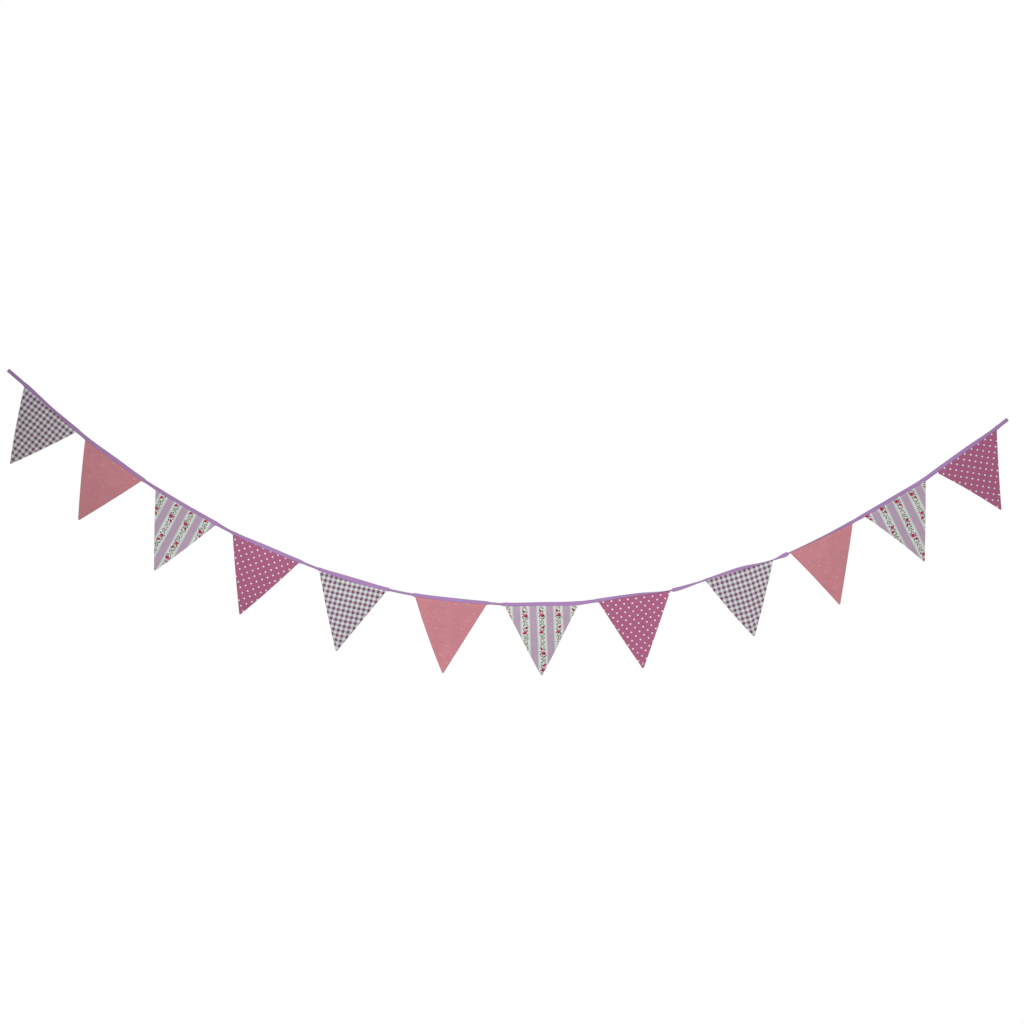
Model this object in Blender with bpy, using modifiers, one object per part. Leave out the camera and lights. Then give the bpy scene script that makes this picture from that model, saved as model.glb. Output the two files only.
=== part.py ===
"""A string of twelve cotton pennants in one folded bias binding, hung by its two ends.

Metres, +Z up. X runs along the span from the left end, and the front faces -Y. The origin is the
middle of the binding's left end, where the string is held up. Each pennant is one sheet of cloth whose
top edge lies in the fold of the binding, and the binding is one strip folded over all of them. Where
the binding has rolled, the cloth leaves its fold at that angle and turns down over a soft bend.
"""

import math

import bmesh
import bpy
import numpy as np
from mathutils import Vector

MM = 0.001

# Binding: a 25 mm bias strip folded in half
BINDING_DEPTH = 12.0 * MM
END_DEPTH = 9.0 * MM
BINDING_WALL = 1.0 * MM
CLOTH = 1.2 * MM
CLEARANCE = 0.3 * MM
CLOSED_GAP = 0.3 * MM
FOLD_POINTS = 5
LEFT_END = (0.0, 0.0)
RIGHT_END = (2499.0, -123.0)
END_RUN = 26.0 * MM
DRAWN_IN_OVER = 12.0 * MM
CORNER_RUN = 10.0 * MM

# Cloth past the mouth of the fold
BEND_RADIUS = 8.0 * MM
BEND_ROWS = (0.1, 0.4, 1.0)
HANG_ROWS = 7
TIP_WIDTH = 3.0 * MM
COLUMNS = 10
GAP_COLUMNS = 4

# Pennants from left to right, in millimetres: the two corners where the cloth leaves the binding, the
# tip, how far each side bows outwards, and how far the top edge sags in its middle.
PENNANTS = [
    # cloth, left x, left z, right x, right z, tip x, tip z, left bow, right bow, sag
    ("gingham", 41.5, -41.8, 171.0, -155.6, 7.0, -233.8, 3.0, 2.0, -0.2),
    ("coral", 193.8, -175.0, 334.5, -277.5, 176.0, -374.8, 1.5, 1.0, 0.1),
    ("rose_stripe", 370.1, -300.6, 518.9, -388.2, 367.3, -501.0, 1.5, 1.5, 1.0),
    ("raspberry_dot", 562.7, -411.2, 727.5, -482.2, 579.0, -611.0, 1.0, 2.0, 2.1),
    ("gingham", 778.9, -502.0, 946.7, -552.3, 820.8, -702.3, 1.5, 0.0, 3.5),
    ("coral", 1018.0, -566.8, 1196.7, -586.4, 1087.3, -757.5, 3.0, 0.0, 2.5),
    ("rose_stripe", 1242.2, -590.3, 1424.7, -587.8, 1334.0, -764.5, 0.5, 0.5, 0.8),
    ("raspberry_dot", 1476.5, -580.2, 1655.4, -551.9, 1587.3, -745.0, 1.0, 0.0, -0.4),
    ("gingham", 1744.2, -526.9, 1911.4, -475.6, 1865.0, -665.3, 3.0, 1.0, 0.6),
    ("coral", 1954.2, -457.1, 2111.0, -383.7, 2077.8, -585.8, -1.0, 1.0, 0.4),
    ("rose_stripe", 2141.5, -366.9, 2293.5, -277.6, 2291.0, -478.3, -3.0, 0.5, 0.2),
    ("raspberry_dot", 2321.5, -257.1, 2470.9, -149.8, 2481.8, -349.0, -3.0, -3.0, 0.4),
]

# How the binding has rolled, in degrees, at each pennant's left corner, middle and right corner, and
# in the gap that follows, a corner run past this pennant and a corner run before the next. At 0, as at
# both free ends, its fold is on top, and above 0 its open edge has swung to the front.
ROLL = [
    # left, middle, right, past right, before next
    (40, 60, 42, 48, 50),
    (42, 41, 42, 60, 57),
    (47, 46, 40, 57, 65),
    (53, 32, 46, 68, 70),
    (52, 12, 46, 69, 68),
    (45, 36, 48, 69, 68),
    (43, 38, 33, 46, 54),
    (44, 58, 88, 46, 78),
    (70, 48, 88, 77, 34),
    (88, 80, 54, 58, 50),
    (47, 46, 38, 39, 40),
    (38, 35, 52, 6, 0),
]

# How the cloth hangs out of its plane, in millimetres towards the front: the tip, the middle of the
# panel, and its left and right sides.
DRAPE = [
    # tip, middle, left side, right side
    (6.0, 3.0, -4.0, 2.0),
    (-4.0, 5.0, -3.0, -5.0),
    (8.0, -3.0, 3.0, 4.0),
    (-6.0, 4.0, -5.0, -2.0),
    (3.0, 5.0, 2.0, -6.0),
    (9.0, -4.0, 6.0, 2.0),
    (-5.0, 4.0, -4.0, -4.0),
    (12.0, 3.0, -2.0, 5.0),
    (7.0, 5.0, -6.0, 3.0),
    (14.0, 4.0, 5.0, -4.0),
    (-3.0, -4.0, 5.0, 3.0),
    (5.0, 4.0, -5.0, 6.0),
]

# Finish of each cloth, seen from a step away
FINISHES = {
    # name: (linear colour, roughness, metallic)
    "gingham": ((0.39, 0.34, 0.38), 0.88, 0.0),
    "coral": ((0.55, 0.22, 0.26), 0.88, 0.0),
    "rose_stripe": ((0.45, 0.39, 0.42), 0.88, 0.0),
    "raspberry_dot": ((0.42, 0.15, 0.25), 0.88, 0.0),
    "binding": ((0.32, 0.20, 0.36), 0.85, 0.0),
}


def clear_scene():
    for item in list(bpy.data.objects):
        bpy.data.objects.remove(item, do_unlink=True)


def make_material(name):
    colour, roughness, metallic = FINISHES[name]
    material = bpy.data.materials.new(name)
    material.use_nodes = True
    shader = material.node_tree.nodes["Principled BSDF"]
    shader.inputs["Base Color"].default_value = (*colour, 1.0)
    shader.inputs["Roughness"].default_value = roughness
    shader.inputs["Metallic"].default_value = metallic
    return material


def smooth_through(knots, values, place, level_knots=False):
    """Read a smooth curve through the values, which is level at each knot where that is asked for."""
    values = np.asarray(values, dtype=float)
    slopes = np.gradient(values, knots, axis=0)
    if level_knots:
        slopes = np.zeros_like(values)
    first = int(np.clip(np.searchsorted(knots, place, side="right") - 1, 0, len(knots) - 2))
    width = knots[first + 1] - knots[first]
    part = (place - knots[first]) / width
    rise = part * part * (3.0 - 2.0 * part)
    lift_start = part * (1.0 - part) ** 2 * width
    lift_end = part * part * (part - 1.0) * width
    start = values[first] * (1.0 - rise) + slopes[first] * lift_start
    return start + values[first + 1] * rise + slopes[first + 1] * lift_end


class Course:
    """The binding's line, its roll, and the places along it where the pennants begin and end."""

    def __init__(self):
        self.axis = self.axis_through()
        steps = np.hypot(*np.diff(self.axis, axis=0).T)
        self.knots = np.concatenate(([0.0], np.cumsum(steps)))
        self.length = self.knots[-1]
        self.starts = self.knots[2:-2:3]
        self.middles = self.knots[3:-2:3]
        self.stops = self.knots[4:-2:3]
        self.set_roll()

    def axis_through(self):
        """The binding's own axis, which lies above the cloth's top edge by what shows of the binding."""
        raised = []
        for row, (left_roll, middle_roll, right_roll, *_) in zip(PENNANTS, ROLL):
            left = np.array(row[1:3]) * MM
            right = np.array(row[3:5]) * MM
            along = (right - left) / np.hypot(*(right - left))
            up = np.array((-along[1], along[0]))
            sag = row[9] * MM
            middle = (left + right) / 2 - up * sag
            for point, roll in ((left, left_roll), (middle, middle_roll), (right, right_roll)):
                raised.append(point + up * BINDING_DEPTH / 2 * math.cos(math.radians(roll)))
        left_end = np.array(LEFT_END) * MM
        right_end = np.array(RIGHT_END) * MM
        first = self.end_run(left_end, raised[0])
        last = self.end_run(right_end, raised[-1])
        return np.array([left_end, first, *raised, last, right_end])

    def end_run(self, end, corner):
        """A point on the straight run at a free end of the binding."""
        return end + (corner - end) / np.hypot(*(corner - end)) * END_RUN

    def set_roll(self):
        places = [0.0, END_RUN]
        angles = [0, 0]
        before_next = (*(self.starts[1:] - CORNER_RUN), self.length - END_RUN)
        for index, angles_here in enumerate(ROLL):
            stop = self.stops[index]
            places.extend((self.starts[index], self.middles[index], stop, stop + CORNER_RUN))
            places.append(before_next[index])
            angles.extend(angles_here)
        self.roll_places = np.array((*places, self.length))
        self.roll_angles = np.radians((*angles, 0))

    def point(self, place):
        x, z = smooth_through(self.knots, self.axis, place)
        return Vector((x, 0.0, z))

    def roll(self, place):
        return float(smooth_through(self.roll_places, self.roll_angles, place, level_knots=True))

    def along(self, place):
        step = 1.0 * MM
        before = self.point(max(place - step, 0.0))
        after = self.point(min(place + step, self.length))
        return (after - before).normalized()

    def up(self, place):
        along = self.along(place)
        return Vector((-along.z, 0.0, along.x))

    def depth(self, place):
        """The binding is drawn in a little past the outer pennants, towards its free ends."""
        past_corner = max(self.starts[0] - place, place - self.stops[-1], 0.0)
        share = min(past_corner / DRAWN_IN_OVER, 1.0)
        return BINDING_DEPTH + (END_DEPTH - BINDING_DEPTH) * share

    def fold_start(self, place):
        """How far above its axis the binding's walls meet its rounded fold."""
        return self.depth(place) / 2 - BINDING_WALL - CLEARANCE - CLOTH / 2

    def in_section(self, place, down, front):
        """A point of the binding's section: down towards its mouth, and out to its front face."""
        roll = self.roll(place)
        up = self.up(place)
        front_way = Vector((0.0, -1.0, 0.0))
        mouth_way = -up * math.cos(roll) + front_way * math.sin(roll)
        face_way = front_way * math.cos(roll) + up * math.sin(roll)
        return self.point(place) + mouth_way * down + face_way * front


def grid_of_cloth(columns, rows, place, turned_rows=0):
    """A sheet with its points set by place(column, row), cut into triangles along one diagonal.

    The diagonal of the first turned_rows rows runs the other way, so that the front and back walls of
    a fold, and the cloth between them, bend along the same lines.
    """
    grid = bmesh.new()
    bmesh.ops.create_grid(grid, x_segments=columns, y_segments=rows, size=0.5)
    turned = []
    straight = []
    for face in grid.faces:
        row = (face.calc_center_median().y + 0.5) * rows
        if row < turned_rows:
            turned.append(face)
        else:
            straight.append(face)
    for vert in grid.verts:
        column = round((vert.co.x + 0.5) * columns)
        row = round((vert.co.y + 0.5) * rows)
        vert.co = place(column, row)
    if turned:
        bmesh.ops.triangulate(grid, faces=turned, quad_method="ALTERNATE")
    bmesh.ops.triangulate(grid, faces=straight, quad_method="FIXED")
    return grid


def add_sheet(name, grid, thickness, material, collection):
    """A cloth object: the sheet gets its thickness evenly on both sides."""
    mesh = bpy.data.meshes.new(name)
    grid.to_mesh(mesh)
    grid.free()
    mesh.materials.append(material)
    mesh.shade_smooth()
    sheet = bpy.data.objects.new(name, mesh)
    solid = sheet.modifiers.new("thickness", "SOLIDIFY")
    solid.thickness = thickness
    solid.offset = 0.0
    solid.use_even_offset = True
    collection.objects.link(sheet)
    return sheet


def binding_section(open_gap, fold_start, depth):
    """The folded strip seen from its end, front mouth to back mouth: (down, front) pairs."""
    half = (open_gap + BINDING_WALL) / 2
    section = [(depth / 2, half)]
    for step in range(FOLD_POINTS):
        angle = math.pi * step / (FOLD_POINTS - 1)
        section.append((-fold_start - half * math.sin(angle), half * math.cos(angle)))
    section.append((depth / 2, -half))
    return section


def add_binding(course, material, collection):
    """One long strip folded over every pennant, closed between them and at its free ends."""
    stations = []
    open_wide = CLOTH + 2 * CLEARANCE
    edges = [0.0]
    for start, stop in zip(course.starts, course.stops):
        edges.extend((start, stop))
    edges.append(course.length)
    for index, (start, stop) in enumerate(zip(edges, edges[1:])):
        over_cloth = index % 2 == 1
        count = COLUMNS if over_cloth else GAP_COLUMNS
        for step in range(count):
            gap = open_wide if over_cloth or (step == 0 and index > 0) else CLOSED_GAP
            stations.append((start + (stop - start) * step / count, gap))
    stations.append((course.length, CLOSED_GAP))

    def place(column, row):
        along, gap = stations[column]
        section = binding_section(gap, course.fold_start(along), course.depth(along))
        down, front = section[row]
        return course.in_section(along, down, front)

    rows = FOLD_POINTS + 1
    grid = grid_of_cloth(len(stations) - 1, rows, place, turned_rows=rows // 2)
    return add_sheet("binding", grid, BINDING_WALL, material, collection)


def bend_forward(roll, below):
    """How far the cloth comes to the front by the time it is this far below the binding's mouth."""
    lean = max(math.sin(abs(roll)) - below / BEND_RADIUS, 0.0)
    forward = BEND_RADIUS * (math.sqrt(1.0 - lean * lean) - math.cos(roll))
    return math.copysign(forward, roll)


def pennant_rows(drop):
    """Shares of the drop at which the cloth has a row: over the bend, then evenly to the tip."""
    rows = [0.0]
    for share in BEND_ROWS:
        rows.append(BEND_RADIUS * share / drop)
    start = rows[-1]
    for step in range(1, HANG_ROWS + 1):
        rows.append(start + (1.0 - start) * step / HANG_ROWS)
    return rows


def add_pennant(index, course, material, collection):
    """One triangular panel, from the fold of the binding down to its blunt tip."""
    tip_x, tip_z, left_bow, right_bow = PENNANTS[index][5:9]
    tip_out, middle_out, left_out, right_out = DRAPE[index]
    start = course.starts[index]
    stop = course.stops[index]
    middle = course.middles[index]
    top_way = (course.point(stop) - course.point(start)).normalized()
    tip = Vector((tip_x * MM, 0.0, tip_z * MM))
    drop = (course.point(middle) - tip).dot(course.up(middle))
    rows = pennant_rows(drop)

    def place(column, row):
        across = column / COLUMNS
        along = start + (stop - start) * across
        if row == 0:
            return course.in_section(along, -course.fold_start(along), 0.0)
        share = rows[row - 1]
        mouth = course.in_section(along, course.depth(along) / 2, 0.0)
        tip_point = tip + top_way * (across - 0.5) * TIP_WIDTH
        bow = right_bow * across - left_bow * (1.0 - across)
        bow *= 4.0 * share * (1.0 - share) * MM
        left_part = max(1.0 - 2.0 * across, 0.0) ** 2
        right_part = max(2.0 * across - 1.0, 0.0) ** 2
        out = middle_out + left_out * left_part + right_out * right_part
        out *= math.sin(math.pi * share) * MM
        out += tip_out * share * share * MM
        out += bend_forward(course.roll(along), share * drop) * (1.0 - share)
        point = mouth.lerp(tip_point, share) + top_way * bow
        point.y -= out
        return point

    grid = grid_of_cloth(COLUMNS, len(rows), place)
    name = f"pennant_{index + 1:02d}"
    return add_sheet(name, grid, CLOTH, material, collection)


def main():
    clear_scene()
    collection = bpy.data.collections.new("bunting")
    bpy.context.scene.collection.children.link(collection)
    materials = {name: make_material(name) for name in FINISHES}
    course = Course()
    add_binding(course, materials["binding"], collection)
    for index, row in enumerate(PENNANTS):
        add_pennant(index, course, materials[row[0]], collection)


main()
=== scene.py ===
"""The looks of the bunting: twelve turned cotton pennants sewn into one folded bias binding.

Metres, +Z up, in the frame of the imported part: X runs along the span and the front faces -Y. The
binding's course, its roll and the pennants' corners are the part's own, so each sheet here lies in the
space of the solid that it stands for, and adds the finer forms: turned edges with their seam ridges,
creases, the strip's folded hems, and the stitching. Every sheet's UV map is its flat cloth in metres,
and the weaves and prints are drawn on that.
"""

import math

import bmesh
import bpy
import numpy as np
from mathutils import Matrix, Vector, noise


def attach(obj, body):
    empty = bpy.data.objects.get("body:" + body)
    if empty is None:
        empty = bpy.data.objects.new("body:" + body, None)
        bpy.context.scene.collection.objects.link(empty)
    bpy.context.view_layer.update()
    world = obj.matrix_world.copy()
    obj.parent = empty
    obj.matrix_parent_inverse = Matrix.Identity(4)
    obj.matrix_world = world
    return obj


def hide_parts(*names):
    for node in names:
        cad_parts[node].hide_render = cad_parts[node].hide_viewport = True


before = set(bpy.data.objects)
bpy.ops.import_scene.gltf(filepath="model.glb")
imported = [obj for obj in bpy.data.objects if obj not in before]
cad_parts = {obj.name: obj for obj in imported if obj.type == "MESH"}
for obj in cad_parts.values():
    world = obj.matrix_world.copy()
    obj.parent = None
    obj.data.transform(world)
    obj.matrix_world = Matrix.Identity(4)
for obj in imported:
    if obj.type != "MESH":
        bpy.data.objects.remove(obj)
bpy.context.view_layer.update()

MM = 0.001
FRONT_WAY = np.array((0.0, -1.0, 0.0))

# Binding: a 25 mm bias strip folded in half, as in the part
BINDING_DEPTH = 12.0 * MM
END_DEPTH = 9.0 * MM
FOLD_ABOVE_CLOTH = 1.9 * MM
LEFT_END = (0.0, 0.0)
RIGHT_END = (2499.0, -123.0)
END_RUN = 26.0 * MM
DRAWN_IN_OVER = 12.0 * MM
CORNER_RUN = 10.0 * MM

# Binding: its cloth, with the raw edges turned in as hems
STRIP_THICKNESS = 0.35 * MM
HEM_WIDTH = 5.5 * MM
HEM_OUT_OVER_CLOTH = 0.95 * MM
HEM_OUT_CLOSED = 0.32 * MM
WALL_PAST_HEM = 0.45 * MM
WALL_CROWN = 0.12 * MM
CORNER_EASE = 5.0 * MM
STATION_STEP = 2.4 * MM
STRIP_RIPPLE_HEIGHT = 0.18 * MM
STRIP_RIPPLE_LENGTH = 14.0 * MM

# Points round the binding's section: degrees round its mouth, shares up its wall, and degrees
# round its fold. Three rows stand close together where the stitching pinches the wall.
MOUTH_TURN = (-90, -45, 0, 45, 90)
WALL_SHARES = (0.08, 0.16, 0.24, 0.4, 0.6, 0.8)
FOLD_TURN = (0, 22.5, 45, 67.5)

# Top stitching along the binding's mouth
STITCH_PITCH = 2.8 * MM
STITCH_LENGTH = 2.2 * MM
THREAD = 0.32 * MM
THREAD_PROUD = 0.064 * MM
THREAD_SIDES = 6
THREAD_RINGS = 4
STITCH_ABOVE_MOUTH = 1.8 * MM
STITCH_PINCH = 0.18 * MM
STITCH_FROM_END = 3.0 * MM
STITCHES_IN_STRETCH = 40

# Pennant cloth: two layers, turned right side out
PANEL_THICKNESS = 0.9 * MM
SEAM_THICKNESS = 1.25 * MM
EDGE_THICKNESS = 0.3 * MM
EDGE_ROUND = 1.2 * MM
SEAM_WIDTH = 6.5 * MM
SEAM_STEP = 1.2 * MM
BEND_RADIUS = 8.0 * MM
TIP_WIDTH = 3.0 * MM
TIP_ROUND = 1.6 * MM
TIP_END_SHARE = 0.35
EDGE_OFFSETS = (0.0, 0.25, 0.7, 1.3, 3.5, 6.0, 7.2, 9.0)
EDGE_SHARE_AT_MOST = 0.42
INNER_COLUMNS = 38
INSIDE_SHARES = (1.0, 0.7, 0.35)
BEND_DROPS = (0.0, 0.4, 0.9, 1.6, 2.5, 3.6, 4.9, 6.4, 8.0)
ROW_STEP = 2.3 * MM
TIP_RISES = (1.6, 1.1, 0.7, 0.4, 0.15, 0.0)

# Unevenness of the hung cloth
RIPPLE_HEIGHT = 0.5 * MM
RIPPLE_LENGTH = 38.0 * MM
FINER_RIPPLES = 2.3
FINER_SHARE = 0.45
EDGE_WOBBLE = 0.5 * MM
CALM_BELOW_MOUTH = 9.0 * MM
CREASE_REACH = 1.25

# Pennants from left to right, in millimetres: the two corners where the cloth leaves the binding, the
# tip, how far each side bows outwards, and how far the top edge sags in its middle.
PENNANTS = [
    # cloth, left x, left z, right x, right z, tip x, tip z, left bow, right bow, sag
    ("gingham", 41.5, -41.8, 171.0, -155.6, 7.0, -233.8, 3.0, 2.0, -0.2),
    ("coral", 193.8, -175.0, 334.5, -277.5, 176.0, -374.8, 1.5, 1.0, 0.1),
    ("rose_stripe", 370.1, -300.6, 518.9, -388.2, 367.3, -501.0, 1.5, 1.5, 1.0),
    ("raspberry_dot", 562.7, -411.2, 727.5, -482.2, 579.0, -611.0, 1.0, 2.0, 2.1),
    ("gingham", 778.9, -502.0, 946.7, -552.3, 820.8, -702.3, 1.5, 0.0, 3.5),
    ("coral", 1018.0, -566.8, 1196.7, -586.4, 1087.3, -757.5, 3.0, 0.0, 2.5),
    ("rose_stripe", 1242.2, -590.3, 1424.7, -587.8, 1334.0, -764.5, 0.5, 0.5, 0.8),
    ("raspberry_dot", 1476.5, -580.2, 1655.4, -551.9, 1587.3, -745.0, 1.0, 0.0, -0.4),
    ("gingham", 1744.2, -526.9, 1911.4, -475.6, 1865.0, -665.3, 3.0, 1.0, 0.6),
    ("coral", 1954.2, -457.1, 2111.0, -383.7, 2077.8, -585.8, -1.0, 1.0, 0.4),
    ("rose_stripe", 2141.5, -366.9, 2293.5, -277.6, 2291.0, -478.3, -3.0, 0.5, 0.2),
    ("raspberry_dot", 2321.5, -257.1, 2470.9, -149.8, 2481.8, -349.0, -3.0, -3.0, 0.4),
]

# How the binding has rolled, in degrees, at each pennant's left corner, middle and right corner, and
# in the gap that follows, a corner run past this pennant and a corner run before the next.
ROLL = [
    # left, middle, right, past right, before next
    (40, 60, 42, 48, 50),
    (42, 41, 42, 60, 57),
    (47, 46, 40, 57, 65),
    (53, 32, 46, 68, 70),
    (52, 12, 46, 69, 68),
    (45, 36, 48, 69, 68),
    (43, 38, 33, 46, 54),
    (44, 58, 88, 46, 78),
    (70, 48, 88, 77, 34),
    (88, 80, 54, 58, 50),
    (47, 46, 38, 39, 40),
    (38, 35, 52, 6, 0),
]

# How the cloth hangs out of its plane, in millimetres towards the front: the tip, the middle of the
# panel, and its left and right sides.
DRAPE = [
    # tip, middle, left side, right side
    (6.0, 3.0, -4.0, 2.0),
    (-4.0, 5.0, -3.0, -5.0),
    (8.0, -3.0, 3.0, 4.0),
    (-6.0, 4.0, -5.0, -2.0),
    (3.0, 5.0, 2.0, -6.0),
    (9.0, -4.0, 6.0, 2.0),
    (-5.0, 4.0, -4.0, -4.0),
    (12.0, 3.0, -2.0, 5.0),
    (7.0, 5.0, -6.0, 3.0),
    (14.0, 4.0, 5.0, -4.0),
    (-3.0, -4.0, 5.0, 3.0),
    (5.0, 4.0, -5.0, 6.0),
]

# Creases, listed one by one. Each runs from one place on the panel to another, given as the share
# across
# and the share down, with its half width and its height to the front in millimetres.
CREASES = {
    # pennant: (from across, from down, to across, to down, half width, height)
    1: ((0.15, 0.05, 0.55, 0.60, 9.0, 1.0), (0.80, 0.04, 0.60, 0.45, 7.0, -0.9)),
    2: ((0.30, 0.04, 0.35, 0.70, 10.0, -1.1), (0.70, 0.10, 0.95, 0.50, 8.0, 1.0)),
    3: ((0.20, 0.06, 0.50, 0.75, 11.0, 1.2), (0.75, 0.05, 0.70, 0.40, 6.0, -0.8)),
    4: ((0.10, 0.10, 0.45, 0.80, 10.0, -1.2), (0.60, 0.04, 0.80, 0.50, 8.0, 0.9)),
    5: ((0.35, 0.05, 0.40, 0.85, 12.0, 1.2), (0.85, 0.05, 0.75, 0.55, 7.0, -0.9)),
    6: ((0.20, 0.05, 0.45, 0.65, 9.0, -1.0), (0.60, 0.08, 0.62, 0.80, 11.0, 1.3)),
    7: ((0.30, 0.04, 0.35, 0.60, 9.0, 0.9), (0.72, 0.06, 0.60, 0.75, 10.0, -1.1)),
    8: ((0.25, 0.05, 0.50, 0.80, 11.0, 1.2), (0.80, 0.04, 0.70, 0.50, 7.0, -1.0)),
    9: ((0.40, 0.03, 0.55, 0.80, 11.0, -1.2), (0.85, 0.05, 0.80, 0.45, 7.0, 0.9)),
    10: ((0.15, 0.04, 0.50, 0.55, 8.0, 1.1), (0.65, 0.05, 0.75, 0.75, 10.0, -1.2)),
    11: ((0.25, 0.05, 0.50, 0.65, 9.0, -1.0), (0.80, 0.05, 0.75, 0.80, 9.0, 1.2)),
    12: ((0.955, 0.03, 0.965, 0.30, 2.6, 2.4), (0.25, 0.08, 0.70, 0.60, 10.0, -1.1)),
}

# Where each panel was cut from its cloth: how far the lines of its weave that run down the panel and
# those that run across it are turned from the pennant's own height and top, in degrees, and the place
# of the pattern's middle from the middle of the top edge, across and down.
CUTS = [
    # turn down, turn across, across, down
    (-3.8, -4.6, 3.1, 3.85),
    (3.0, 3.0, -6.0, 9.0),
    (178.0, 178.0, -21.1, -41.3),
    (1.6, 1.6, 3.2, -8.35),
    (-2.45, -4.45, -5.55, 1.6),
    (-4.3, -4.3, 3.0, 11.5),
    (-1.25, -1.25, -0.34, 19.6),
    (3.05, 3.05, 3.5, 6.5),
    (1.6, -0.85, 0.1, 4.4),
    (4.2, 4.2, 8.4, 5.2),
    (184.0, 184.0, -2.2, -13.2),
    (0.4, 0.4, -7.5, 2.4),
]

# Weave and prints, in millimetres of flat cloth. The threads lie a little further apart than in
# real cotton, so that close views show them.
THREAD_PITCH = 0.5
SLUB_LENGTH = 16.0
SLUB_WIDTH = 0.9
FADED_PATCH = 45.0
WEAVE_HEIGHT = 0.12
CHECK_ACROSS = 12.3
CHECK_DOWN = 12.7
DOT_PITCH = 14.6
DOT_RADIUS = 2.1
DOT_DRIFT = 1.2
DOT_DRIFT_LENGTH = 9.0
SPRIG_ACROSS = 33.0
SPRIG_DOWN = 42.0
SPRIG_RADIUS = 2.1
SPECK_RADIUS = 0.55 * SPRIG_RADIUS
SPRIG_RAG = 1.6
STRIPE_PITCH = 41.5
MAUVE_FROM = 12.6
PALE_TO = 7.0
GRADED_BEFORE = 1.5
PRINT_EDGE = 0.3
HATCH_PITCH = 1.9
SPRAY_HALF = 7.6
SPRAY_FADE = 1.5
SPRAY_LEAF = 2.3
VINE_REPEAT = 95.0
VINE_LOW = -26.0
VINE_RAG = 2.2

# Weave and prints, as shares: tones of the cloth, softness and wear of edges, strength of inks
DARKEST_TONE = 0.87
LIGHTEST_TONE = 1.11
WARP_LIGHTER = 1.12
BAND_EDGE = 0.12
UNDER_SHOWS = 0.22
DOT_EDGE = 0.12
SPRIG_WEAR = 1.6
SPRIG_OUTER = 2.2
SPRIG_INNER = 1.3
HATCH_SLANT = 0.6
HATCH_STRENGTH = 0.16
GREYED_SHARE = 0.45
SPRAY_STRENGTH = 0.8
VINE_WEAR = 0.7
VINE_OUTER = 1.42
VINE_INNER = 1.22
FAR_FROM_OVALS = 9.0

# The rose vine in one repeat: ovals of print on the pale stripe, in millimetres from its middle line.
VINE = [
    # colour, across, down, half length, half width, turn in degrees
    ("olive", -3.2, -23.0, 2.8, 1.3, 60.0),
    ("leaf", 2.6, -20.5, 3.0, 1.4, -40.0),
    ("moss", -0.6, -17.0, 2.6, 1.1, 65.0),
    ("bud", -4.2, -14.5, 2.0, 1.5, 80.0),
    ("leaf", 3.4, -12.5, 2.8, 1.2, 35.0),
    ("moss", -5.4, -8.6, 2.6, 1.2, -60.0),
    ("leaf", 3.2, -5.2, 3.2, 1.5, 70.0),
    ("rose", -2.6, -5.4, 3.7, 3.0, 70.0),
    ("deep_rose", -2.0, -4.6, 1.8, 1.3, 30.0),
    ("moss", -6.0, 0.6, 2.4, 1.1, 50.0),
    ("rose", 1.6, 4.8, 5.9, 4.8, 20.0),
    ("pale_rose", 0.2, 3.2, 2.1, 1.4, -35.0),
    ("deep_rose", 3.0, 5.8, 2.8, 1.9, 15.0),
    ("leaf", -5.6, 7.2, 3.2, 1.5, -65.0),
    ("moss", 7.2, 9.6, 2.6, 1.2, 40.0),
    ("leaf", 4.2, 12.8, 3.0, 1.5, 30.0),
    ("olive", -2.2, 12.6, 3.0, 1.4, 20.0),
    ("moss", 0.6, 17.0, 2.8, 1.1, -70.0),
    ("bud", -4.4, 19.0, 2.0, 1.5, 20.0),
    ("leaf", -1.0, 22.6, 3.0, 1.3, 60.0),
    ("plum_bud", 4.2, 21.6, 2.2, 1.5, 70.0),
    ("olive", 3.0, 26.6, 3.0, 1.4, 25.0),
    ("leaf", -3.4, 28.2, 3.0, 1.4, -30.0),
    ("moss", 6.4, 31.4, 2.2, 1.0, 80.0),
    ("rose", 3.0, 35.2, 4.6, 3.2, -40.0),
    ("deep_rose", 3.8, 34.4, 2.0, 1.3, -35.0),
    ("moss", -3.0, 34.4, 2.8, 1.2, 50.0),
    ("leaf", -4.4, 40.2, 3.0, 1.4, 65.0),
    ("leaf", 4.6, 42.0, 2.4, 1.1, -20.0),
    ("rose", -0.8, 46.6, 5.0, 4.4, -30.0),
    ("pale_rose", 0.6, 44.8, 1.9, 1.2, 30.0),
    ("deep_rose", -1.6, 48.6, 2.6, 1.7, -25.0),
    ("moss", -6.4, 49.2, 2.4, 1.1, 75.0),
    ("leaf", 4.8, 52.0, 3.2, 1.5, -50.0),
    ("olive", -3.6, 55.4, 2.8, 1.3, 60.0),
    ("leaf", 1.4, 57.4, 2.6, 1.2, 5.0),
    ("moss", -1.4, 61.4, 3.0, 1.3, 75.0),
    ("plum_bud", 4.6, 61.6, 2.2, 1.4, -60.0),
    ("olive", 1.4, 65.6, 2.6, 1.2, 35.0),
    ("bud", -4.6, 66.4, 1.7, 1.3, 10.0),
]
VINE_COLOURS = {
    "olive": "#7f8560",
    "moss": "#56603f",
    "leaf": "#3f6b48",
    "bud": "#b3523c",
    "plum_bud": "#6d4250",
    "rose": "#b52f58",
    "pale_rose": "#cf6f90",
    "deep_rose": "#7e1f42",
}

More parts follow.
